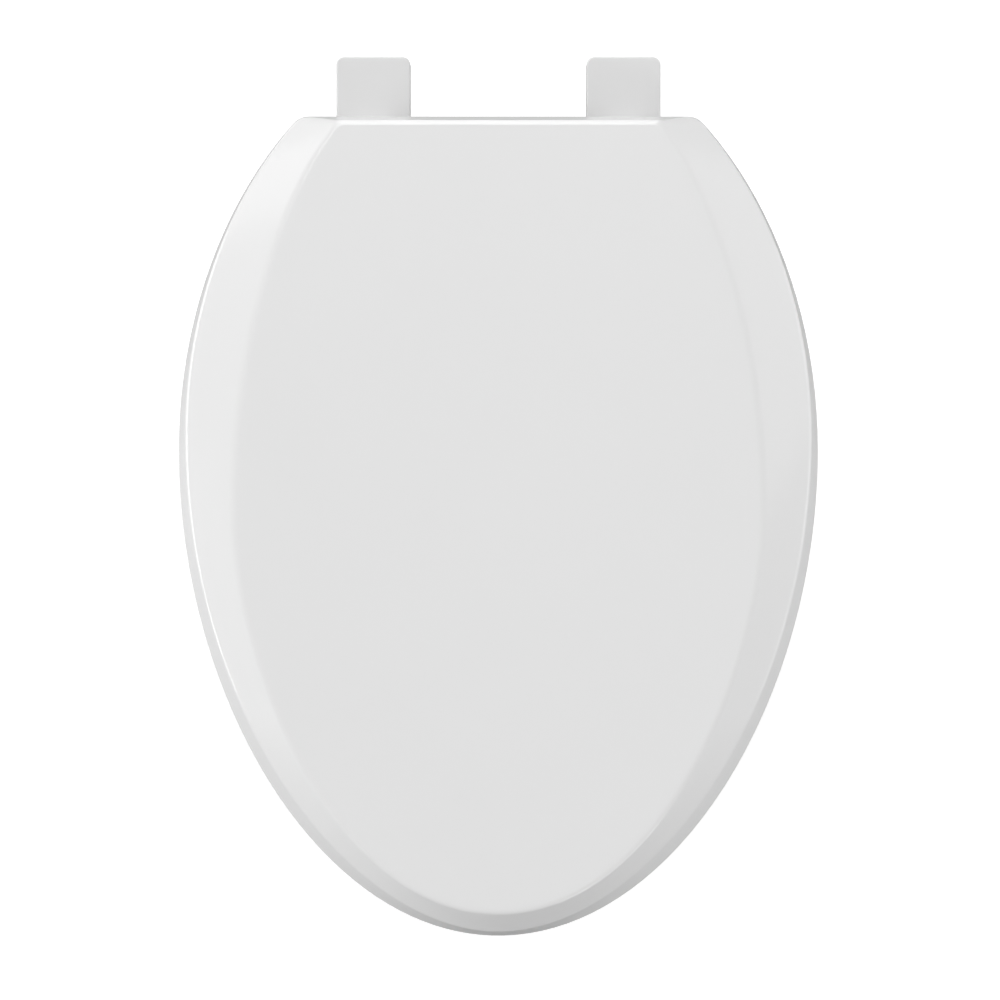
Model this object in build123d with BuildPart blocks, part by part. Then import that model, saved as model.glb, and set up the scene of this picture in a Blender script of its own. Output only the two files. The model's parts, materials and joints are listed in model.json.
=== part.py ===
"""Elongated plastic toilet seat: lid, ring, two flip-cover hinges and their deck bolts.

The frame's origin lies midway between the two bolts, on the bowl's deck.
X runs across the seat, the front is at -Y and Z points up. Lengths are millimetres.
"""

import os
from collections import namedtuple
from math import asin, atan2, cos, degrees, radians, sin, tan

from build123d import *

os.makedirs("parts", exist_ok=True)

# Bowl interface
bolt_spacing = 139.7
deck_thickness = 20.0

# Heights, stacked up from the deck
bumper_height = 6.0
ring_height = 19.0
lid_gap = 2.0
lid_wall_height = 13.0
lid_bevel_height = 10.0

# Lid outline, with lengths along Y measured from the bolt line
seat_reach = 472.0
lid_width = 355.0
lid_setback = 17.1
lid_widest = 202.5
lid_rear_radius = 236.7
lid_corner_radius = 11.0
lid_side_pull = 0.513
lid_front_pull = 0.555
lid_skin = 3.6

# Upper edge of the lid's leaning wall
wall_lean_side = 4.6
wall_lean_front = 3.4
wall_lean_rear = 1.3
edge_shift = 8.8
edge_rear_trim = 10.1
edge_side_pull = 0.575
edge_front_pull = 0.461
edge_round_below = 0.12
edge_round_above = 0.05

# Bevel and flat top
bevel_side = 26.7
bevel_front = 11.0
bevel_rear = 1.1
knee_shift = 43.0
knee_rear_gain = 46.4
knee_side_pull = 0.36
knee_front_pull = 0.64
knee_corner_radius = 4.0
knee_round_below = 0.10
flat_margin = 2.8
flat_margin_rear = 3.2

# Ring
ring_inset = 3.0
ring_rear_gap = 12.0
ring_corner_radius = 22.0
ring_draft = 1.0
ring_round = 14.0
ring_round_share = 0.6
ring_skin = 4.0
band_side = 65.5
band_front = 64.0
band_rear = 71.0
opening_shift = 37.5
opening_side_pull = 0.53
opening_front_pull = 0.56
opening_slope = 26.0
opening_lip_height = 9.0
rib_thickness = 2.4
rib_recess = 5.0
rib_count = 12

# Bumpers
bumper_length = 34.0
bumper_width = 13.0
bumper_edge_radius = 1.5
bumper_stem_radius = 3.0
bumper_stem_length = 7.0
bumper_boss_wall = 2.5
front_bumper_share = 0.66
rear_bumper_angle = 44.0
lid_bumper_radius = 6.5
lid_bumper_edge_radius = 1.0
lid_bumper_stem_radius = 2.5
lid_bumper_stem_length = 6.0
lid_bumper_share = 0.55
lid_boss_wall = 1.5
lid_boss_rise = 1.2
bumper_rest_gap = 0.2
stem_end_gap = 0.5

# Hinge knuckles and pin
knuckle_radius = 7.0
knuckle_width = 20.0
lug_width = 11.4
lug_gap = 0.4
lug_root_length = 16.0
lug_root_shift = 3.0
arm_root_length = 14.0
arm_root_inset = 5.0
arm_root_margin = 2.0
hinge_rise = 2.0
hinge_hide = 0.4
notch_gap = 1.5
notch_rise = 2.8
pin_radius = 3.2
pin_head_radius = 4.8
pin_head_thickness = 1.6
pin_end_gap = 0.4
pin_chamfer = 0.6

# Hinge base and cover
pad_thickness = 1.2
pad_margin = 1.0
foot_thickness = 2.4
foot_front_margin = 1.5
post_flare = 1.0
cover_width = 41.3
cover_rear = 17.2
cover_height = 11.9
cover_skin = 1.8
cover_corner_radius = 4.4
cover_edge_radius = 0.8
cover_part_gap = 0.6
cover_front_gap = 0.3
cover_lip_height = 3.0
rear_skirt_height = 8.6
rail_thickness = 2.2
rail_inset = 2.0
rail_gap = 0.3
rail_end_gap = 1.2
swing_gap = 0.6
pivot_radius = 1.25
pivot_ear_radius = 2.5

# Bolts
bolt_head_radius = 7.5
bolt_head_thickness = 2.8
bolt_head_round = 0.9
bolt_slot_width = 1.8
bolt_slot_depth = 1.3
bolt_neck_radius = 4.9
bolt_thread_radius = 4.75
bolt_thread_depth = 0.55
bolt_shank_length = 8.0
bolt_length = 66.0
bolt_tip_chamfer = 1.0
washer_radius = 13.0
washer_thickness = 1.6
nut_flange_radius = 10.5
nut_flange_thickness = 2.0
nut_hub_radius = 8.0
nut_height = 12.0
wing_span = 42.0
wing_thickness = 4.0
wing_drop = 4.0
wing_round = 2.5

# Fits, and how far a cut runs past the face it opens
running_gap = 0.06
press_gap = 0.02
bolt_gap = 0.25
cut_over = 1.0

# Places that follow from the sizes above
sides = {"left": -1, "right": 1}
bolt_x = bolt_spacing / 2
ring_base_z = bumper_height
ring_top_z = ring_base_z + ring_height
lid_rim_z = ring_top_z + lid_gap
lid_edge_z = lid_rim_z + lid_wall_height
lid_top_z = lid_edge_z + lid_bevel_height
lid_boss_z = lid_rim_z + lid_boss_rise
hinge_y = -lid_setback - hinge_hide - knuckle_radius
hinge_z = lid_rim_z + hinge_rise
foot_top_z = pad_thickness + foot_thickness
foot_front_y = hinge_y - knuckle_radius - foot_front_margin
ring_rear_y = foot_front_y - ring_rear_gap
cover_top_z = foot_top_z + cover_height
cover_ceiling_z = cover_top_z - cover_skin
cover_front_y = -lid_setback + cover_front_gap
cover_inside = cover_width - 2 * cover_skin
skirt_z = foot_top_z + cover_part_gap
rear_skirt_z = cover_top_z - rear_skirt_height
rail_x = cover_inside / 2 - rail_inset
rail_top_z = cover_ceiling_z - rail_gap
rail_front_y = cover_front_y + cover_skin + rail_end_gap
pivot_y = cover_rear - cover_skin - rail_gap - pivot_ear_radius
pivot_z = rail_top_z - pivot_ear_radius
column_y = pivot_y - (pivot_z - rear_skirt_z) - swing_gap
nut_top_z = -deck_thickness - washer_thickness
nut_bottom_z = nut_top_z - nut_height

# Hinge stations along X, from the seat's middle outwards: lid lug, base knuckle, ring lug
knuckle_x = bolt_x - knuckle_width / 2
lid_lug_x = knuckle_x - lug_gap - lug_width
ring_lug_x = knuckle_x + knuckle_width + lug_gap
ring_lug_end_x = ring_lug_x + lug_width
pin_head_x = ring_lug_end_x - pin_head_thickness
notch_x = lid_lug_x - notch_gap
notch_width = ring_lug_end_x + notch_gap - notch_x
notch_top_z = hinge_z + knuckle_radius + notch_rise

ON_BASE = (Align.CENTER, Align.CENTER, Align.MIN)
BELOW_TOP = (Align.CENTER, Align.CENTER, Align.MAX)

# One outline of the lid, the ring or the opening, at its height
Level = namedtuple("Level", "z half_width wide_y rear_radius front_y side_pull front_pull rear_y corner")


def between(first, second, share):
    """Level that lies the given share of the way from the first to the second."""
    return Level(*(a + (b - a) * share for a, b in zip(first, second)))


def shrink(level, inset, z):
    """The same outline drawn in by inset, at height z."""
    return level._replace(
        z=z,
        half_width=level.half_width - inset,
        rear_radius=level.rear_radius - inset,
        front_y=level.front_y + inset,
        rear_y=level.rear_y - inset,
    )


def rounded(before, ridge, after, reach_before, reach_after, steps):
    """Levels that round the ridge where two bands meet, on a curve pulled towards that ridge."""
    start = between(ridge, before, reach_before)
    end = between(ridge, after, reach_after)
    shares = [step / steps for step in range(steps + 1)]
    return [between(between(start, ridge, t), between(ridge, end, t), t) for t in shares]


def front_curve(level):
    """Right-hand curve from the widest point to the front."""
    reach = level.wide_y - level.front_y
    return Bezier(
        (level.half_width, level.wide_y),
        (level.half_width, level.wide_y - level.side_pull * reach),
        (level.front_pull * level.half_width, level.front_y),
        (0, level.front_y),
    )


def egg_face(level):
    """Egg outline whose rear is cut straight across and rounded at the corners."""
    rear_angle = degrees(asin((level.rear_y - level.wide_y) / level.rear_radius))
    centre = (0, level.wide_y)
    with BuildSketch(Plane.XY.offset(level.z)) as egg:
        with BuildLine():
            side = EllipticalCenterArc(centre, level.half_width, level.rear_radius, arc_size=rear_angle)
            front_curve(level)
            mirror(about=Plane.YZ)
            corner_x = (side @ 1).X
            Line((corner_x, level.rear_y), (-corner_x, level.rear_y))
        make_face()
        fillet(egg.vertices().group_by(Axis.Y)[-1], level.corner)
    return egg.sketch


def oval_face(level):
    """Closed oval: half an ellipse at the rear and a pulled curve at the front."""
    centre = (0, level.wide_y)
    with BuildSketch(Plane.XY.offset(level.z)) as oval:
        with BuildLine():
            EllipticalCenterArc(centre, level.half_width, level.rear_radius, arc_size=90)
            front_curve(level)
            mirror(about=Plane.YZ)
        make_face()
    return oval.sketch


def slab_plane(side, inner_x):
    """Plane across X at inner_x from the seat's middle, facing away from the middle."""
    return Plane(origin=(side * inner_x, 0, 0), x_dir=(0, side, 0), z_dir=(side, 0, 0))


def across(side, y, z):
    """Point of a slab plane's sketch that lies at y and z."""
    return (side * y, z)


def hinge_disc(side, inner_x, radius):
    """Circle round the hinge axis, on a slab plane."""
    with BuildSketch(slab_plane(side, inner_x)) as disc:
        with Locations(across(side, hinge_y, hinge_z)):
            Circle(radius)
    return disc.sketch


def hinge_hull(side, inner_x, y, z, depth, height):
    """Outline that wraps the knuckle circle and a block centred at y and z."""
    with BuildSketch(slab_plane(side, inner_x)) as hull:
        with Locations(across(side, hinge_y, hinge_z)):
            Circle(knuckle_radius)
        with Locations(across(side, y, z)):
            Rectangle(depth, height)
        make_hull(mode=Mode.REPLACE)
    return hull.sketch


# Lid levels, from the rim up to the flat top
rim = Level(
    z=lid_rim_z,
    half_width=lid_width / 2,
    wide_y=-lid_widest,
    rear_radius=lid_rear_radius,
    front_y=-seat_reach,
    side_pull=lid_side_pull,
    front_pull=lid_front_pull,
    rear_y=-lid_setback,
    corner=lid_corner_radius,
)
edge = Level(
    z=lid_edge_z,
    half_width=rim.half_width - wall_lean_side,
    wide_y=rim.wide_y + edge_shift,
    rear_radius=rim.rear_radius - edge_rear_trim,
    front_y=rim.front_y + wall_lean_front,
    side_pull=edge_side_pull,
    front_pull=edge_front_pull,
    rear_y=rim.rear_y - wall_lean_rear,
    corner=lid_corner_radius,
)
knee = Level(
    z=lid_top_z,
    half_width=edge.half_width - bevel_side,
    wide_y=edge.wide_y - knee_shift,
    rear_radius=edge.rear_radius + knee_rear_gain,
    front_y=edge.front_y + bevel_front,
    side_pull=knee_side_pull,
    front_pull=knee_front_pull,
    rear_y=edge.rear_y - bevel_rear,
    corner=knee_corner_radius,
)
flat = shrink(knee, flat_margin, lid_top_z)._replace(rear_y=knee.rear_y - flat_margin_rear)
lid_levels = [rim]
lid_levels += rounded(rim, edge, knee, edge_round_below, edge_round_above, 3)
lid_levels += rounded(edge, knee, flat, knee_round_below, 1.0, 4)

# The lid's hollow keeps one skin thickness below the wall, the bevel and the top
bevel_lean = atan2(lid_bevel_height, bevel_side)
bevel_drop = lid_skin / cos(bevel_lean)
knee_inset = (lid_bevel_height - lid_skin + bevel_drop) / tan(bevel_lean) - bevel_side
hollow_knee = shrink(knee, knee_inset, lid_top_z - lid_skin)
lid_hollow_levels = [
    shrink(rim, lid_skin, lid_rim_z - cut_over),
    shrink(edge, lid_skin, lid_edge_z + lid_skin * tan(bevel_lean) - bevel_drop),
    hollow_knee._replace(rear_y=knee.rear_y - lid_skin),
]

# Ring levels: the outside, the opening with its sloping seat edge, and the hollow below
ring_foot = shrink(rim, ring_inset, ring_base_z)._replace(rear_y=ring_rear_y, corner=ring_corner_radius)
ring_shoulder = shrink(ring_foot, ring_draft, ring_top_z)
ring_crest = shrink(ring_foot, ring_round, ring_top_z)
ring_levels = [ring_foot]
ring_levels += rounded(ring_foot, ring_shoulder, ring_crest, ring_round_share, 1.0, 4)

hollow_base_z = ring_base_z - cut_over
hollow_top_z = ring_top_z - ring_skin
opening_wide_y = rim.wide_y - opening_shift
opening_rear_y = ring_rear_y - band_rear
opening = Level(
    z=hollow_base_z,
    half_width=rim.half_width - band_side,
    wide_y=opening_wide_y,
    rear_radius=opening_rear_y - opening_wide_y,
    front_y=rim.front_y + band_front,
    side_pull=opening_side_pull,
    front_pull=opening_front_pull,
    rear_y=opening_rear_y,
    corner=0.0,
)
opening_lip = opening._replace(z=ring_base_z + opening_lip_height)
opening_crest = shrink(opening, -opening_slope, ring_top_z)
slope_lean = atan2(ring_top_z - opening_lip.z, opening_slope)
slope_drop = ring_skin / cos(slope_lean)
opening_levels = [
    opening,
    opening_lip,
    opening_crest,
    shrink(opening_crest, -cut_over, ring_top_z + cut_over * tan(slope_lean)),
]

hollow_foot = shrink(ring_foot, ring_skin, hollow_base_z)
hollow_shoulder = shrink(ring_shoulder, ring_skin, hollow_top_z)
hollow_crest = shrink(ring_crest, ring_skin, hollow_top_z)
hollow_outer_levels = [hollow_foot]
hollow_outer_levels += rounded(hollow_foot, hollow_shoulder, hollow_crest, ring_round_share, 1.0, 4)
hollow_inner_levels = [
    shrink(opening, -ring_skin, hollow_base_z - cut_over),
    shrink(opening, -ring_skin, opening_lip.z + ring_skin * tan(slope_lean) - slope_drop),
    shrink(opening, -opening_slope - slope_drop / tan(slope_lean), ring_top_z),
]

# Bumper places: the ring's on the middle of its band, the lid's on the middle of the ring's crest
band = between(opening, ring_foot, 0.5)
band_curve = front_curve(band)
rear_turn = radians(rear_bumper_angle)
ring_bumper_spots = {
    "front": (band_curve @ front_bumper_share, band_curve % front_bumper_share),
    "rear": (
        Vector(band.half_width * cos(rear_turn), band.wide_y + band.rear_radius * sin(rear_turn)),
        Vector(-band.half_width * sin(rear_turn), band.rear_radius * cos(rear_turn)),
    ),
}
lid_bumper_spot = front_curve(between(opening_crest, ring_crest, 0.5)) @ lid_bumper_share


def ring_bumper_plane(side, spot, z):
    """Plane at a ring bumper, with its x direction along the ring's band."""
    point, heading = spot
    origin = (side * point.X, point.Y, z)
    return Plane(origin=origin, x_dir=(side * heading.X, heading.Y, 0), z_dir=(0, 0, 1))


def bumper_face(plane, growth):
    """Plan of a ring bumper, grown all round."""
    with BuildSketch(plane) as slot:
        SlotOverall(bumper_length + 2 * growth, bumper_width + 2 * growth)
    return slot.sketch


def stem_faces(plane, radius):
    """The two stems of a ring bumper, side by side along its length."""
    with BuildSketch(plane) as stems:
        with GridLocations(bumper_length - bumper_width, 0, 2, 1):
            Circle(radius)
    return stems.sketch


# Lid: a shell open below, with bumper bosses, hinge lugs and a notch over each hinge
with BuildPart() as lid_hollow:
    loft([egg_face(level) for level in lid_hollow_levels], ruled=True)
    for side in sides.values():
        with Locations((side * lid_bumper_spot.X, lid_bumper_spot.Y, lid_boss_z)):
            Cylinder(lid_bumper_radius + lid_boss_wall, lid_top_z, align=ON_BASE, mode=Mode.SUBTRACT)

with BuildPart() as lid:
    loft([egg_face(level) for level in lid_levels], ruled=True)
    add(lid_hollow.part, mode=Mode.SUBTRACT)
    notch_height = notch_top_z - lid_rim_z + cut_over
    lug_root_y = hinge_y - lug_root_shift
    stem_hole_depth = lid_bumper_stem_length + stem_end_gap
    for side in sides.values():
        with Locations((side * (notch_x + notch_width / 2), -lid_setback, notch_top_z)):
            Box(notch_width, 3 * lid_skin, notch_height, align=BELOW_TOP, mode=Mode.SUBTRACT)
        lug = hinge_hull(side, lid_lug_x, lug_root_y, lid_top_z - lid_skin, lug_root_length, lid_skin)
        extrude(lug, amount=lug_width)
        extrude(hinge_disc(side, lid_lug_x, pin_radius + running_gap), amount=lug_width, mode=Mode.SUBTRACT)
        with Locations((side * lid_bumper_spot.X, lid_bumper_spot.Y, lid_boss_z)):
            Cylinder(lid_bumper_stem_radius + press_gap, stem_hole_depth, align=ON_BASE, mode=Mode.SUBTRACT)
lid.part.label = "lid"
export_step(lid.part, "parts/lid.step")

# Seat ring: a moulding that is hollow below, with ribs and bumper bosses in the hollow
with BuildPart() as ring_hollow:
    loft([egg_face(level) for level in hollow_outer_levels], ruled=True)
    loft([oval_face(level) for level in hollow_inner_levels], ruled=True, mode=Mode.SUBTRACT)
    outwards = (Align.MIN, Align.CENTER, Align.MIN)
    with Locations((0, opening.wide_y, ring_base_z + rib_recess)):
        with PolarLocations(0, rib_count, start_angle=180 / rib_count):
            Box(seat_reach, rib_thickness, ring_height, align=outwards, mode=Mode.SUBTRACT)
    for side in sides.values():
        for spot in ring_bumper_spots.values():
            boss = bumper_face(ring_bumper_plane(side, spot, hollow_base_z), bumper_boss_wall)
            extrude(boss, amount=ring_height, mode=Mode.SUBTRACT)

with BuildPart() as seat_ring:
    loft([egg_face(level) for level in ring_levels], ruled=True)
    loft([oval_face(level) for level in opening_levels], ruled=True, mode=Mode.SUBTRACT)
    add(ring_hollow.part, mode=Mode.SUBTRACT)
    arm_y = ring_rear_y - arm_root_inset - arm_root_length / 2
    arm_z = ring_base_z + ring_height / 2
    arm_height = ring_height - 2 * arm_root_margin
    for side in sides.values():
        extrude(hinge_hull(side, ring_lug_x, arm_y, arm_z, arm_root_length, arm_height), amount=lug_width)
        extrude(hinge_disc(side, ring_lug_x, pin_radius + running_gap), amount=lug_width, mode=Mode.SUBTRACT)
        head_recess = hinge_disc(side, pin_head_x - pin_end_gap, pin_head_radius + bolt_gap)
        extrude(head_recess, amount=lug_width, mode=Mode.SUBTRACT)
        for spot in ring_bumper_spots.values():
            seat = ring_bumper_plane(side, spot, ring_base_z)
            stem_holes = stem_faces(seat, bumper_stem_radius + press_gap)
            extrude(stem_holes, amount=bumper_stem_length + stem_end_gap, mode=Mode.SUBTRACT)
seat_ring.part.label = "seat_ring"
export_step(seat_ring.part, "parts/seat_ring.step")

# Bumpers under the ring and under the lid
lid_rest_z = ring_top_z + bumper_rest_gap

for side_name, side in sides.items():
    for spot_name, spot in ring_bumper_spots.items():
        with BuildPart() as ring_bumper:
            extrude(bumper_face(ring_bumper_plane(side, spot, 0), 0), amount=bumper_height)
            fillet(ring_bumper.faces().sort_by(Axis.Z)[0].edges(), bumper_edge_radius)
            stems = stem_faces(ring_bumper_plane(side, spot, bumper_height), bumper_stem_radius)
            extrude(stems, amount=bumper_stem_length)
        ring_bumper.part.label = f"ring_bumper_{spot_name}_{side_name}"
        export_step(ring_bumper.part, f"parts/ring_bumper_{spot_name}_{side_name}.step")

    with BuildPart() as lid_bumper:
        with Locations((side * lid_bumper_spot.X, lid_bumper_spot.Y, lid_rest_z)):
            Cylinder(lid_bumper_radius, lid_boss_z - lid_rest_z, align=ON_BASE)
        fillet(lid_bumper.faces().sort_by(Axis.Z)[0].edges(), lid_bumper_edge_radius)
        with Locations((side * lid_bumper_spot.X, lid_bumper_spot.Y, lid_boss_z)):
            Cylinder(lid_bumper_stem_radius, lid_bumper_stem_length, align=ON_BASE)
    lid_bumper.part.label = f"lid_bumper_{side_name}"
    export_step(lid_bumper.part, f"parts/lid_bumper_{side_name}.step")


def station_face(side, front_y, inset, z):
    """Plan of a hinge station: a rectangle with rounded rear corners, drawn in by inset."""
    depth = cover_rear - inset - front_y
    with BuildSketch(Plane.XY.offset(z)) as station:
        with Locations((side * bolt_x, front_y + depth / 2)):
            Rectangle(cover_width - 2 * inset, depth)
        fillet(station.vertices().group_by(Axis.Y)[-1], cover_corner_radius - inset)
    return station.sketch


def rail_face(side, inner_x):
    """Side view of a base rail: a column, and an arm that ends in the cover's pivot ear."""
    with BuildSketch(slab_plane(side, inner_x)) as rail:
        with Locations(across(side, (rail_front_y + column_y) / 2, (foot_top_z + rail_top_z) / 2)):
            Rectangle(column_y - rail_front_y, rail_top_z - foot_top_z)
        with Locations(across(side, (column_y + pivot_y) / 2, pivot_z)):
            Rectangle(pivot_y - column_y, 2 * pivot_ear_radius)
        with Locations(across(side, pivot_y, pivot_z)):
            Circle(pivot_ear_radius)
            Circle(pivot_radius + running_gap, mode=Mode.SUBTRACT)
    return rail.sketch


def pivot_disc(side, inner_x):
    """End view of a cover's pivot stub, on a slab plane."""
    with BuildSketch(slab_plane(side, inner_x)) as disc:
        with Locations(across(side, pivot_y, pivot_z)):
            Circle(pivot_radius)
    return disc.sketch


# Hinge stations: soft pad, base, flip cover and pin
post_depth = 2 * knuckle_radius + post_flare
post_z = foot_top_z - foot_thickness / 2
front_gap_height = cover_ceiling_z - cover_lip_height - skirt_z
rear_gap_height = rear_skirt_z - skirt_z
stub_length = rail_thickness + rail_inset
pin_start_x = lid_lug_x + pin_end_gap
behind = (Align.CENTER, Align.MIN, Align.MIN)

for side_name, side in sides.items():
    with BuildPart() as foot_pad:
        extrude(station_face(side, foot_front_y + pad_margin, pad_margin, 0), amount=pad_thickness)
        with Locations((side * bolt_x, 0, 0)):
            Cylinder(bolt_neck_radius + 2 * bolt_gap, pad_thickness, align=ON_BASE, mode=Mode.SUBTRACT)
    foot_pad.part.label = f"foot_pad_{side_name}"
    export_step(foot_pad.part, f"parts/foot_pad_{side_name}.step")

    with BuildPart() as hinge_base:
        extrude(station_face(side, foot_front_y, 0, pad_thickness), amount=foot_thickness)
        post = hinge_hull(side, knuckle_x, hinge_y, post_z, post_depth, foot_thickness)
        extrude(post, amount=knuckle_width)
        for rail_inner_x in (bolt_x - rail_x, bolt_x + rail_x - rail_thickness):
            extrude(rail_face(side, rail_inner_x), amount=rail_thickness)
        extrude(hinge_disc(side, knuckle_x, pin_radius + press_gap), amount=knuckle_width, mode=Mode.SUBTRACT)
        with Locations((side * bolt_x, 0, pad_thickness)):
            Cylinder(bolt_neck_radius + bolt_gap, foot_thickness, align=ON_BASE, mode=Mode.SUBTRACT)
    hinge_base.part.label = f"hinge_base_{side_name}"
    export_step(hinge_base.part, f"parts/hinge_base_{side_name}.step")

    with BuildPart() as hinge_cover:
        extrude(station_face(side, cover_front_y, 0, skirt_z), amount=cover_top_z - skirt_z)
        fillet(hinge_cover.faces().sort_by(Axis.Z)[-1].edges(), cover_edge_radius)
        cover_hollow = station_face(side, cover_front_y + cover_skin, cover_skin, skirt_z)
        extrude(cover_hollow, amount=cover_ceiling_z - skirt_z, mode=Mode.SUBTRACT)
        with Locations((side * bolt_x, cover_front_y, skirt_z)):
            Box(cover_inside, 3 * cover_skin, front_gap_height, align=ON_BASE, mode=Mode.SUBTRACT)
        with Locations((side * bolt_x, pivot_y + pivot_radius, skirt_z)):
            Box(2 * cover_width, cover_rear, rear_gap_height, align=behind, mode=Mode.SUBTRACT)
        for stub_x in (bolt_x - cover_inside / 2, bolt_x + cover_inside / 2 - stub_length):
            extrude(pivot_disc(side, stub_x), amount=stub_length)
    hinge_cover.part.label = f"hinge_cover_{side_name}"
    export_step(hinge_cover.part, f"parts/hinge_cover_{side_name}.step")

    with BuildPart() as hinge_pin:
        extrude(hinge_disc(side, pin_start_x, pin_radius), amount=pin_head_x - pin_start_x)
        extrude(hinge_disc(side, pin_head_x, pin_head_radius), amount=pin_head_thickness)
        chamfer(hinge_pin.edges().sort_by(Axis.X)[::side][0], pin_chamfer)
    hinge_pin.part.label = f"hinge_pin_{side_name}"
    export_step(hinge_pin.part, f"parts/hinge_pin_{side_name}.step")

# Deck bolts with their washers and wing nuts
bolt_head_z = foot_top_z + bolt_head_thickness
bolt_steps = [
    (bolt_thread_radius, -bolt_length, -bolt_shank_length),
    (bolt_thread_radius - bolt_thread_depth, -bolt_shank_length, 0.0),
    (bolt_neck_radius, 0.0, foot_top_z),
    (bolt_head_radius, foot_top_z, bolt_head_z),
]


def wing_face(hub_x, wing):
    """Side view of one wing of the nut, from the hub's middle outwards."""
    tip_x = hub_x + wing * wing_span / 2
    with BuildSketch(Plane.XZ) as wing_side:
        with BuildLine():
            FilletPolyline(
                (hub_x, nut_top_z - nut_flange_thickness),
                (hub_x, nut_bottom_z),
                (tip_x, nut_bottom_z - wing_drop),
                (tip_x, nut_top_z - 2 * nut_flange_thickness),
                radius=wing_round,
                close=True,
            )
        make_face()
    return wing_side.sketch


for side_name, side in sides.items():
    with BuildPart() as mounting_bolt:
        for radius, low_z, high_z in bolt_steps:
            with Locations((side * bolt_x, 0, low_z)):
                Cylinder(radius, high_z - low_z, align=ON_BASE)
        fillet(mounting_bolt.faces().sort_by(Axis.Z)[-1].edges(), bolt_head_round)
        chamfer(mounting_bolt.faces().sort_by(Axis.Z)[0].edges(), bolt_tip_chamfer)
        with Locations((side * bolt_x, 0, bolt_head_z)):
            Box(3 * bolt_head_radius, bolt_slot_width, 2 * bolt_slot_depth, mode=Mode.SUBTRACT)
    mounting_bolt.part.label = f"mounting_bolt_{side_name}"
    export_step(mounting_bolt.part, f"parts/mounting_bolt_{side_name}.step")

    with BuildPart() as washer:
        with Locations((side * bolt_x, 0, nut_top_z)):
            Cylinder(washer_radius, washer_thickness, align=ON_BASE)
            Cylinder(bolt_thread_radius + bolt_gap, washer_thickness, align=ON_BASE, mode=Mode.SUBTRACT)
    washer.part.label = f"washer_{side_name}"
    export_step(washer.part, f"parts/washer_{side_name}.step")

    with BuildPart() as wing_nut:
        with Locations((side * bolt_x, 0, nut_top_z)):
            Cylinder(nut_flange_radius, nut_flange_thickness, align=BELOW_TOP)
            Cylinder(nut_hub_radius, nut_height, align=BELOW_TOP)
        for wing in (-1, 1):
            extrude(wing_face(side * bolt_x, wing), amount=wing_thickness / 2, both=True)
        with Locations((side * bolt_x, 0, nut_top_z)):
            Cylinder(bolt_thread_radius + running_gap, 3 * nut_height, mode=Mode.SUBTRACT)
    wing_nut.part.label = f"wing_nut_{side_name}"
    export_step(wing_nut.part, f"parts/wing_nut_{side_name}.step")
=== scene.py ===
"""Looks of the toilet seat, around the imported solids: materials, finer forms, studio and camera."""

import json
import math

import bmesh
import bpy
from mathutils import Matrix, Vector


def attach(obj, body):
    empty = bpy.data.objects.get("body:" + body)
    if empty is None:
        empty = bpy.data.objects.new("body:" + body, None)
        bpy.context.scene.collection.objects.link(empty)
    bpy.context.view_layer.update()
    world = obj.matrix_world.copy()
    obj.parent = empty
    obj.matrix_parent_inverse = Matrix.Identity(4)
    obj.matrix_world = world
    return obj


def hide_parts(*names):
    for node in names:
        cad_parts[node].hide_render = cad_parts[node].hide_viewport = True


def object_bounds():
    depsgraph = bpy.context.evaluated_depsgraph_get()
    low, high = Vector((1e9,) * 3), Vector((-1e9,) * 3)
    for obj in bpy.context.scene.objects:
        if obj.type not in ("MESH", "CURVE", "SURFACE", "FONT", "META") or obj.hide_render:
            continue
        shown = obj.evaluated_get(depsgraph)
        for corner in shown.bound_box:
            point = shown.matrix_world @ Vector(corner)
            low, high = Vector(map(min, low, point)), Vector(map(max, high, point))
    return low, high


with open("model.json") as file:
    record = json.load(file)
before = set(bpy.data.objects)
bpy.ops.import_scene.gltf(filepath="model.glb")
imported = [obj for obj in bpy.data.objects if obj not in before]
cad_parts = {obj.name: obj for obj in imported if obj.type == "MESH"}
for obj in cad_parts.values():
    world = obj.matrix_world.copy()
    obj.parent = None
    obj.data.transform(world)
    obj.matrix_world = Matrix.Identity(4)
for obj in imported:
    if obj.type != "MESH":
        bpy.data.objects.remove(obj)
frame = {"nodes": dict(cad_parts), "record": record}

CAD_BOX = [list(corner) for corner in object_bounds()]
SIDES = {"left": -1, "right": 1}

# Camera: straight down on the shut lid, with the whole seat in a square picture
PICTURE_WIDTH = 0.5555
PICTURE_CENTRE = Vector((0.0009, -0.2300))
RIM_HEIGHT = 0.027
CAMERA_DISTANCE = 2.5
SENSOR = 36.0

# Bolts, as in the solids, and their thread: half a crest and one flank as shares of the pitch
BOLT_X = 0.06985
SHANK_RADIUS = 0.0042
CREST_RADIUS = 0.00475
THREAD_TOP = -0.008
THREAD_END = -0.066
THREAD_PITCH = 0.002
TIP_CHAMFER = 0.001
CREST_SHARE = 0.1
FLANK_SHARE = 0.2
ROWS_PER_TURN = 10
ROUND_STEPS = 48

# Wing nuts: flange, and reach of the wings from the bolt in the solid and in the look
NUT_FLANGE_RADIUS = 0.0105
SOLID_WING_REACH = 0.021
WING_REACH = 0.0195

# Edges gentler than this are shaded as one curve
SMOOTH_ANGLE = math.radians(32)
NORMAL_WEIGHT = 60
WELD_DISTANCE = 0.00001

# Rear face of the lid, rim to top: height, place in the solid, and place in the look
REAR_FACE = (
    (0.02700, -0.01710, -0.01710),
    (0.03844, -0.01824, -0.01799),
    (0.04050, -0.01846, -0.01827),
    (0.04900, -0.01939, -0.02079),
    (0.04944, -0.01964, -0.02152),
    (0.04975, -0.02027, -0.02226),
    (0.04994, -0.02129, -0.02299),
    (0.05000, -0.02270, -0.02371),
)

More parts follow.
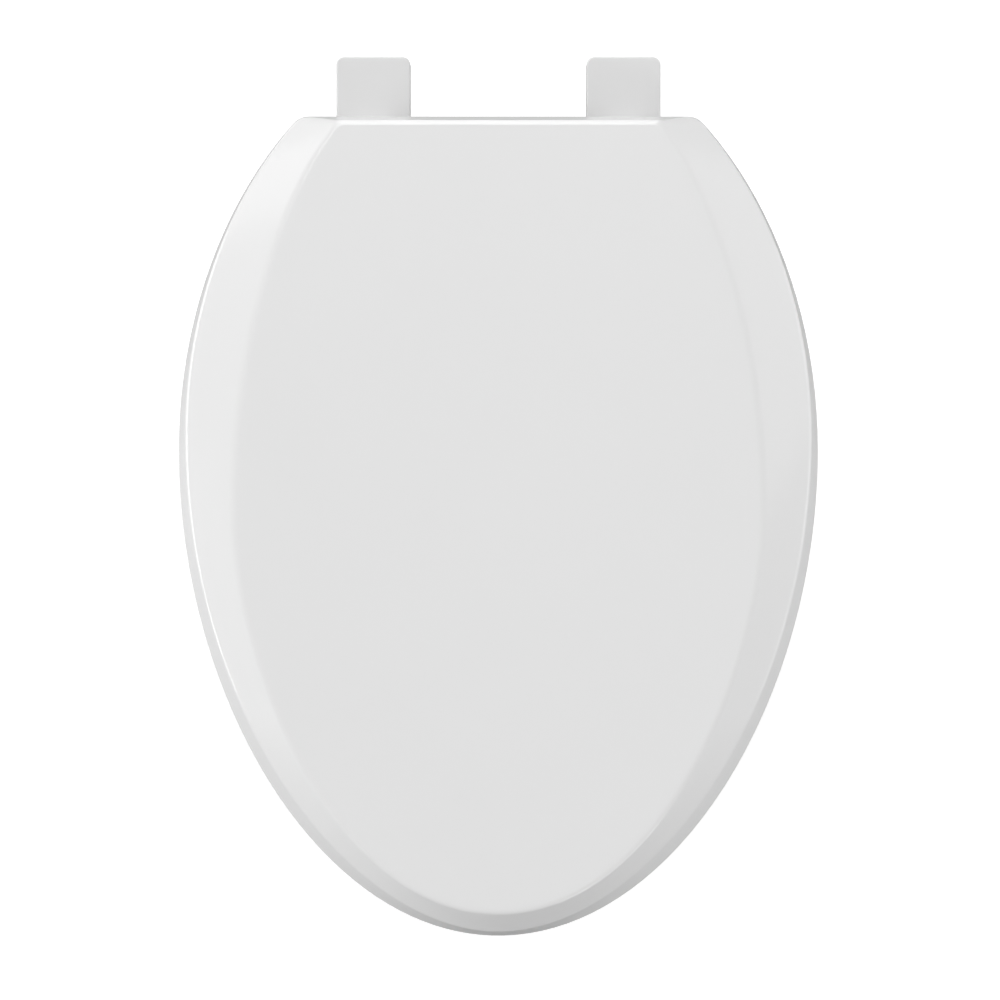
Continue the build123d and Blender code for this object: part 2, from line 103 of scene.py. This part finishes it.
# Where the crown fades in, and what tells the lid's outer skin from its hollow, notches and lugs
REAR_FADE = (-0.040, -0.024)
LID_MIDDLE = Vector((0.0, -0.24))
LID_CEILING = 0.0464
HINGE_SPAN = (0.046, 0.094)
SKIN_SLACK = 0.0003

PLASTIC_IOR = 1.49

# Studio: the floor lies below the nuts at the end of their travel
NUT_OVERRUN = 0.0045
FLOOR_HEIGHT = CAD_BOX[0][2] - NUT_OVERRUN
FLOOR_RADIUS = 14.0
FLOOR_GLOW = 0.84
CARD_DROP = 0.002
DOME_RADIUS = 45.0
DOME_GLOW = 1.1
WORLD_STRENGTH = 0.145
AIM = Vector((0.0, -0.23, 0.03))

# Level panels over the seat: spans in x and y as shares of their height, and radiance
OVERHEAD_HEIGHT = 6.0
OVERHEADS = (
    ("rear_strip", (-0.27, 0.13), (0.2, 3.4), 4.45),
    ("rear_left_panel", (-1.4, -0.5), (0.45, 0.98), 1.6),
)

# Softboxes round the seat: bearing, height angle, width, height and radiance
SOFTBOX_DISTANCE = 8.0
SOFTBOXES = (
    ("low_left_softbox", 180, 14, 7.0, 2.6, 8.5),
    ("low_right_softbox", 0, 14, 7.0, 2.6, 4.1),
    ("front_right_softbox", 305, 30, 4.0, 3.0, 3.9),
    ("rear_right_softbox", 20, 45, 4.0, 3.0, 0.95),
    ("rear_softbox", 90, 45, 6.0, 4.0, 1.05),
)


def grey(value):
    """Colour with the same value in each channel."""
    return (value, value, value)


def new_material(name):
    """Material with its node tree, and that tree's shader."""
    material = bpy.data.materials.new(name)
    material.use_nodes = True
    shader = material.node_tree.nodes["Principled BSDF"]
    return material, material.node_tree, shader


def noise(tree, scale, detail, low, high):
    """Noise over the object's own space, spread between two values."""
    coordinates = tree.nodes.new("ShaderNodeTexCoord")
    texture = tree.nodes.new("ShaderNodeTexNoise")
    texture.inputs["Scale"].default_value = scale
    texture.inputs["Detail"].default_value = detail
    spread = tree.nodes.new("ShaderNodeMapRange")
    spread.inputs["To Min"].default_value = low
    spread.inputs["To Max"].default_value = high
    tree.links.new(coordinates.outputs["Object"], texture.inputs["Vector"])
    tree.links.new(texture.outputs["Fac"], spread.inputs["Value"])
    return spread.outputs["Result"]


def tint(tree, value, dark, light):
    """Colour between two tints, driven by a value from 0 to 1."""
    ramp = tree.nodes.new("ShaderNodeValToRGB")
    ramp.color_ramp.elements[0].color = (*dark, 1.0)
    ramp.color_ramp.elements[1].color = (*light, 1.0)
    tree.links.new(value, ramp.inputs["Fac"])
    return ramp.outputs["Color"]


def bump(tree, shader, height, strength, distance):
    """Fine relief on the shader's normal."""
    relief = tree.nodes.new("ShaderNodeBump")
    relief.inputs["Strength"].default_value = strength
    relief.inputs["Distance"].default_value = distance
    tree.links.new(height, relief.inputs["Height"])
    tree.links.new(relief.outputs["Normal"], shader.inputs["Normal"])


def moulded_plastic(name, dark, light, gloss, grain):
    """Moulded plastic with faint mottling, uneven gloss and a fine skin."""
    material, tree, shader = new_material(name)
    mottling = noise(tree, 14.0, 3.0, 0.0, 1.0)
    tree.links.new(tint(tree, mottling, dark, light), shader.inputs["Base Color"])
    tree.links.new(noise(tree, 60.0, 4.0, *gloss), shader.inputs["Roughness"])
    shader.inputs["IOR"].default_value = PLASTIC_IOR
    bump(tree, shader, noise(tree, grain, 2.0, 0.0, 1.0), 0.03, 0.0002)
    return material


def soft_rubber(name, dark, light):
    """Matt rubber with a grainy skin."""
    material, tree, shader = new_material(name)
    mottling = noise(tree, 90.0, 4.0, 0.0, 1.0)
    tree.links.new(tint(tree, mottling, dark, light), shader.inputs["Base Color"])
    tree.links.new(noise(tree, 300.0, 3.0, 0.55, 0.75), shader.inputs["Roughness"])
    bump(tree, shader, noise(tree, 1800.0, 3.0, 0.0, 1.0), 0.25, 0.0002)
    return material


def drawn_steel(name, dark, light):
    """Drawn steel with fine marks along the pin."""
    material, tree, shader = new_material(name)
    shader.inputs["Metallic"].default_value = 1.0
    coordinates = tree.nodes.new("ShaderNodeTexCoord")
    stretch = tree.nodes.new("ShaderNodeMapping")
    stretch.inputs["Scale"].default_value = (30.0, 1500.0, 1500.0)
    marks = tree.nodes.new("ShaderNodeTexNoise")
    marks.inputs["Scale"].default_value = 1.0
    tree.links.new(coordinates.outputs["Object"], stretch.inputs["Vector"])
    tree.links.new(stretch.outputs["Vector"], marks.inputs["Vector"])
    tree.links.new(tint(tree, marks.outputs["Fac"], dark, light), shader.inputs["Base Color"])
    tree.links.new(noise(tree, 200.0, 3.0, 0.22, 0.38), shader.inputs["Roughness"])
    bump(tree, shader, marks.outputs["Fac"], 0.1, 0.0001)
    return material


MATERIALS = {
    "seat_plastic": moulded_plastic("seat_plastic", grey(0.793), grey(0.807), (0.13, 0.17), 900.0),
    # The hinge covers are the same white plastic as the seat, made a little darker here: painted shade
    # for the light that the lid's rear overhang keeps off them
    "hinge_plastic": moulded_plastic("hinge_plastic", grey(0.735), grey(0.75), (0.18, 0.24), 1200.0),
    "bolt_nylon": moulded_plastic(
        "bolt_nylon", (0.70, 0.69, 0.65), (0.76, 0.75, 0.71), (0.35, 0.45), 700.0
    ),
    "pin_steel": drawn_steel("pin_steel", (0.50, 0.50, 0.51), grey(0.66)),
    "bumper_rubber": soft_rubber("bumper_rubber", (0.62, 0.62, 0.60), (0.68, 0.68, 0.66)),
    "soft_rubber": soft_rubber("soft_rubber", (0.07, 0.07, 0.075), (0.10, 0.10, 0.105)),
}


def dress(piece, slot):
    """Gives a piece the material of one of the record's slots."""
    piece.data.materials.clear()
    piece.data.materials.append(MATERIALS[slot])


for subpart in frame["record"]["subparts"]:
    dress(frame["nodes"][subpart["node"]], subpart["material_slot"])


def rear_face(height):
    """The lid's rear face at a height: its place in the solid and in the look."""
    height = min(max(height, REAR_FACE[0][0]), REAR_FACE[-1][0])
    for lower, upper in zip(REAR_FACE, REAR_FACE[1:]):
        if height <= upper[0]:
            share = (height - lower[0]) / (upper[0] - lower[0])
            return [low + (high - low) * share for low, high in zip(lower[1:], upper[1:])]


def on_outside(vertex, rear):
    """Whether a vertex of the lid lies on its outer skin, and not in the hollow, a notch or a lug."""
    if vertex.co.z > LID_CEILING:
        return True
    if HINGE_SPAN[0] < abs(vertex.co.x) < HINGE_SPAN[1] and vertex.co.y < rear - SKIN_SLACK:
        return False
    outwards = vertex.co.xy - LID_MIDDLE
    return any(face.normal.xy.dot(outwards) > 0.0 for face in vertex.link_faces)


def solid_form(node_name):
    """Editable copy of a solid's mesh, with its faces joined."""
    form = bmesh.new()
    form.from_mesh(frame["nodes"][node_name].data)
    bmesh.ops.remove_doubles(form, verts=form.verts, dist=WELD_DISTANCE)
    form.normal_update()
    return form


def new_piece(name, form, slot):
    """Smooth piece of the part from a finished form, in the material of a slot."""
    mesh = bpy.data.meshes.new(name)
    form.to_mesh(mesh)
    form.free()
    mesh.shade_smooth()
    piece = bpy.data.objects.new(name, mesh)
    bpy.context.scene.collection.objects.link(piece)
    dress(piece, slot)
    return piece


def keep_sharp_edges(piece):
    """Shades only the gentle edges of a piece as one curve."""
    split = piece.modifiers.new("keep_sharp_edges", "EDGE_SPLIT")
    split.split_angle = SMOOTH_ANGLE


def crowned_lid():
    """The solid's lid with the crowned rear edge that the photo shows, drawn in by up to 2 mm."""
    form = solid_form("lid")
    shifts = {}
    for vertex in form.verts:
        solid_y, look_y = rear_face(vertex.co.z)
        share = min(max((vertex.co.y - REAR_FADE[0]) / (REAR_FADE[1] - REAR_FADE[0]), 0.0), 1.0)
        if share > 0.0 and on_outside(vertex, solid_y):
            shifts[vertex] = (look_y - solid_y) * share
    for vertex, shift in shifts.items():
        vertex.co.y += shift
    lid = new_piece("crowned_lid", form, "seat_plastic")
    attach(lid, "lid")
    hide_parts("lid")
    return lid


# The mouldings' rounded edges are narrow bands in the solids, shaded here as one curve
for moulding in (crowned_lid(), frame["nodes"]["seat_ring"]):
    weld = moulding.modifiers.new("join_bands", "WELD")
    weld.merge_threshold = WELD_DISTANCE
    keep_sharp_edges(moulding)
    normals = moulding.modifiers.new("smooth_bands", "WEIGHTED_NORMAL")
    normals.weight = NORMAL_WEIGHT


def thread_radius(z, turn):
    """Radius of the bolt at a height and a turn: a rounded ridge that runs out at both ends."""
    run_in = min((THREAD_TOP - z) / THREAD_PITCH, (z - THREAD_END) / THREAD_PITCH, 1.0)
    phase = (z / THREAD_PITCH - turn) % 1.0
    ridge = min(max((CREST_SHARE + FLANK_SHARE - abs(phase - 0.5)) / FLANK_SHARE, 0.0), 1.0)
    depth = (CREST_RADIUS - SHANK_RADIUS) * max(run_in, 0.0)
    return SHANK_RADIUS + depth * ridge * ridge * (3.0 - 2.0 * ridge)


def add_thread(form, x):
    """Closed threaded rod below the shank, made row by row from the top to the chamfered tip."""
    row_count = round((THREAD_TOP - THREAD_END) / THREAD_PITCH * ROWS_PER_TURN)
    rows = []
    for row in range(row_count + 1):
        z = THREAD_TOP + (THREAD_END - THREAD_TOP) * row / row_count
        cut = max(THREAD_END + TIP_CHAMFER - z, 0.0)
        ring = []
        for step in range(ROUND_STEPS):
            angle = 2.0 * math.pi * step / ROUND_STEPS
            radius = min(thread_radius(z, step / ROUND_STEPS), CREST_RADIUS - cut)
            ring.append(form.verts.new((x + radius * math.cos(angle), radius * math.sin(angle), z)))
        rows.append(ring)
    for upper, lower in zip(rows, rows[1:]):
        for step in range(ROUND_STEPS):
            follow = (step + 1) % ROUND_STEPS
            form.faces.new((upper[step], lower[step], lower[follow], upper[follow]))
    form.faces.new(rows[0])
    form.faces.new(rows[-1][::-1])


def threaded_bolt(side_name, side):
    """The solid's head, neck and shank, with a real thread in place of its plain lower end."""
    node_name = f"mounting_bolt_{side_name}"
    form = solid_form(node_name)
    reach = THREAD_TOP + WELD_DISTANCE
    plain_end = [face for face in form.faces if all(vertex.co.z < reach for vertex in face.verts)]
    bmesh.ops.delete(form, geom=plain_end, context="FACES")
    bmesh.ops.holes_fill(form, edges=[edge for edge in form.edges if edge.is_boundary])
    add_thread(form, side * BOLT_X)
    bmesh.ops.recalc_face_normals(form, faces=form.faces)
    bolt = new_piece(f"threaded_bolt_{side_name}", form, "bolt_nylon")
    keep_sharp_edges(bolt)
    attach(bolt, "base")
    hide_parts(node_name)


def trimmed_nut(side_name, side):
    """The solid's wing nut with wings that stay out of sight under the hinge, as in the photo."""
    node_name = f"wing_nut_{side_name}"
    form = solid_form(node_name)
    share = (WING_REACH - NUT_FLANGE_RADIUS) / (SOLID_WING_REACH - NUT_FLANGE_RADIUS)
    for vertex in form.verts:
        reach = vertex.co.x - side * BOLT_X
        beyond = abs(reach) - NUT_FLANGE_RADIUS
        if beyond > 0.0:
            vertex.co.x -= math.copysign(beyond * (1.0 - share), reach)
    nut = new_piece(f"trimmed_nut_{side_name}", form, "bolt_nylon")
    keep_sharp_edges(nut)
    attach(nut, f"nut_{side_name}")
    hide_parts(node_name)


for side_name, side in SIDES.items():
    threaded_bolt(side_name, side)
    trimmed_nut(side_name, side)


# A white floor and surround that only the camera sees, and a grey card that gives the bounce from below
def stage_piece(name, form, height):
    """Piece of the studio from a finished form, at a height."""
    mesh = bpy.data.meshes.new(name)
    form.to_mesh(mesh)
    form.free()
    piece = bpy.data.objects.new(name, mesh)
    piece.location.z = height
    bpy.context.scene.collection.objects.link(piece)
    return piece


def disc():
    """Flat disc of the floor's size."""
    form = bmesh.new()
    bmesh.ops.create_circle(form, cap_ends=True, segments=64, radius=FLOOR_RADIUS)
    return form


def only_for_camera(piece):
    """Keeps a piece of the studio out of the light on the seat."""
    piece.visible_diffuse = False
    piece.visible_glossy = False
    piece.visible_transmission = False
    piece.visible_shadow = False


def paper(name, dark, light, glow):
    """Matt pale paper, brightened by a glow of its own."""
    material, tree, shader = new_material(name)
    mottling = noise(tree, 3.0, 2.0, 0.0, 1.0)
    tree.links.new(tint(tree, mottling, grey(dark), grey(light)), shader.inputs["Base Color"])
    shader.inputs["Roughness"].default_value = 0.9
    shader.inputs["Specular IOR Level"].default_value = 0.0
    shader.inputs["Emission Color"].default_value = (1.0, 1.0, 1.0, 1.0)
    shader.inputs["Emission Strength"].default_value = glow
    return material


floor = stage_piece("floor", disc(), FLOOR_HEIGHT)
floor.data.materials.append(paper("floor_paper", 0.34, 0.36, FLOOR_GLOW))
only_for_camera(floor)

card = stage_piece("bounce_card", disc(), FLOOR_HEIGHT - CARD_DROP)
card.data.materials.append(paper("card_paper", 0.41, 0.43, 0.0))
card.visible_camera = False

dome_form = bmesh.new()
bmesh.ops.create_uvsphere(dome_form, u_segments=64, v_segments=32, radius=DOME_RADIUS)
dome = stage_piece("surround", dome_form, 0.0)
dome.data.materials.append(paper("surround_paper", 0.0, 0.02, DOME_GLOW))
only_for_camera(dome)


def softbox(name, place, target, width, height, radiance):
    """Area light at a place, facing a target, with the brightness of its face."""
    light = bpy.data.lights.new(name, "AREA")
    light.shape = "RECTANGLE"
    light.size = width
    light.size_y = height
    light.energy = radiance * math.pi * width * height
    lamp = bpy.data.objects.new(name, light)
    lamp.location = place
    lamp.rotation_euler = (Vector(target) - Vector(place)).to_track_quat("-Z", "Y").to_euler()
    lamp.visible_camera = False
    bpy.context.scene.collection.objects.link(lamp)


def round_the_seat(azimuth, elevation, distance):
    """Place at a bearing from the seat's right, a height angle and a distance."""
    turn, rise = math.radians(azimuth), math.radians(elevation)
    level = Vector((math.cos(turn), math.sin(turn), 0.0)) * math.cos(rise)
    return AIM + (level + Vector((0.0, 0.0, math.sin(rise)))) * distance


def overhead(name, x_span, y_span, height, radiance):
    """Level softbox over the seat, its spans given as shares of its height."""
    place = AIM + Vector((sum(x_span) / 2, sum(y_span) / 2, 1.0)) * height
    size = (height * (x_span[1] - x_span[0]), height * (y_span[1] - y_span[0]))
    softbox(name, place, place - Vector((0.0, 0.0, 1.0)), *size, radiance)


for name, x_span, y_span, radiance in OVERHEADS:
    overhead(name, x_span, y_span, OVERHEAD_HEIGHT, radiance)
for name, azimuth, elevation, width, height, radiance in SOFTBOXES:
    place = round_the_seat(azimuth, elevation, SOFTBOX_DISTANCE)
    softbox(name, place, AIM, width, height, radiance)

world = bpy.data.worlds.new("studio")
bpy.context.scene.world = world
world.use_nodes = True
background = world.node_tree.nodes["Background"]
background.inputs["Color"].default_value = (1.0, 1.0, 1.0, 1.0)
background.inputs["Strength"].default_value = WORLD_STRENGTH

camera_data = bpy.data.cameras.new("camera")
camera_data.sensor_width = SENSOR
camera_data.lens = SENSOR * CAMERA_DISTANCE / PICTURE_WIDTH
camera = bpy.data.objects.new("camera", camera_data)
camera.location = (PICTURE_CENTRE.x, PICTURE_CENTRE.y, RIM_HEIGHT + CAMERA_DISTANCE)
bpy.context.scene.collection.objects.link(camera)
bpy.context.scene.camera = camera
bpy.context.scene.view_settings.view_transform = "Standard"
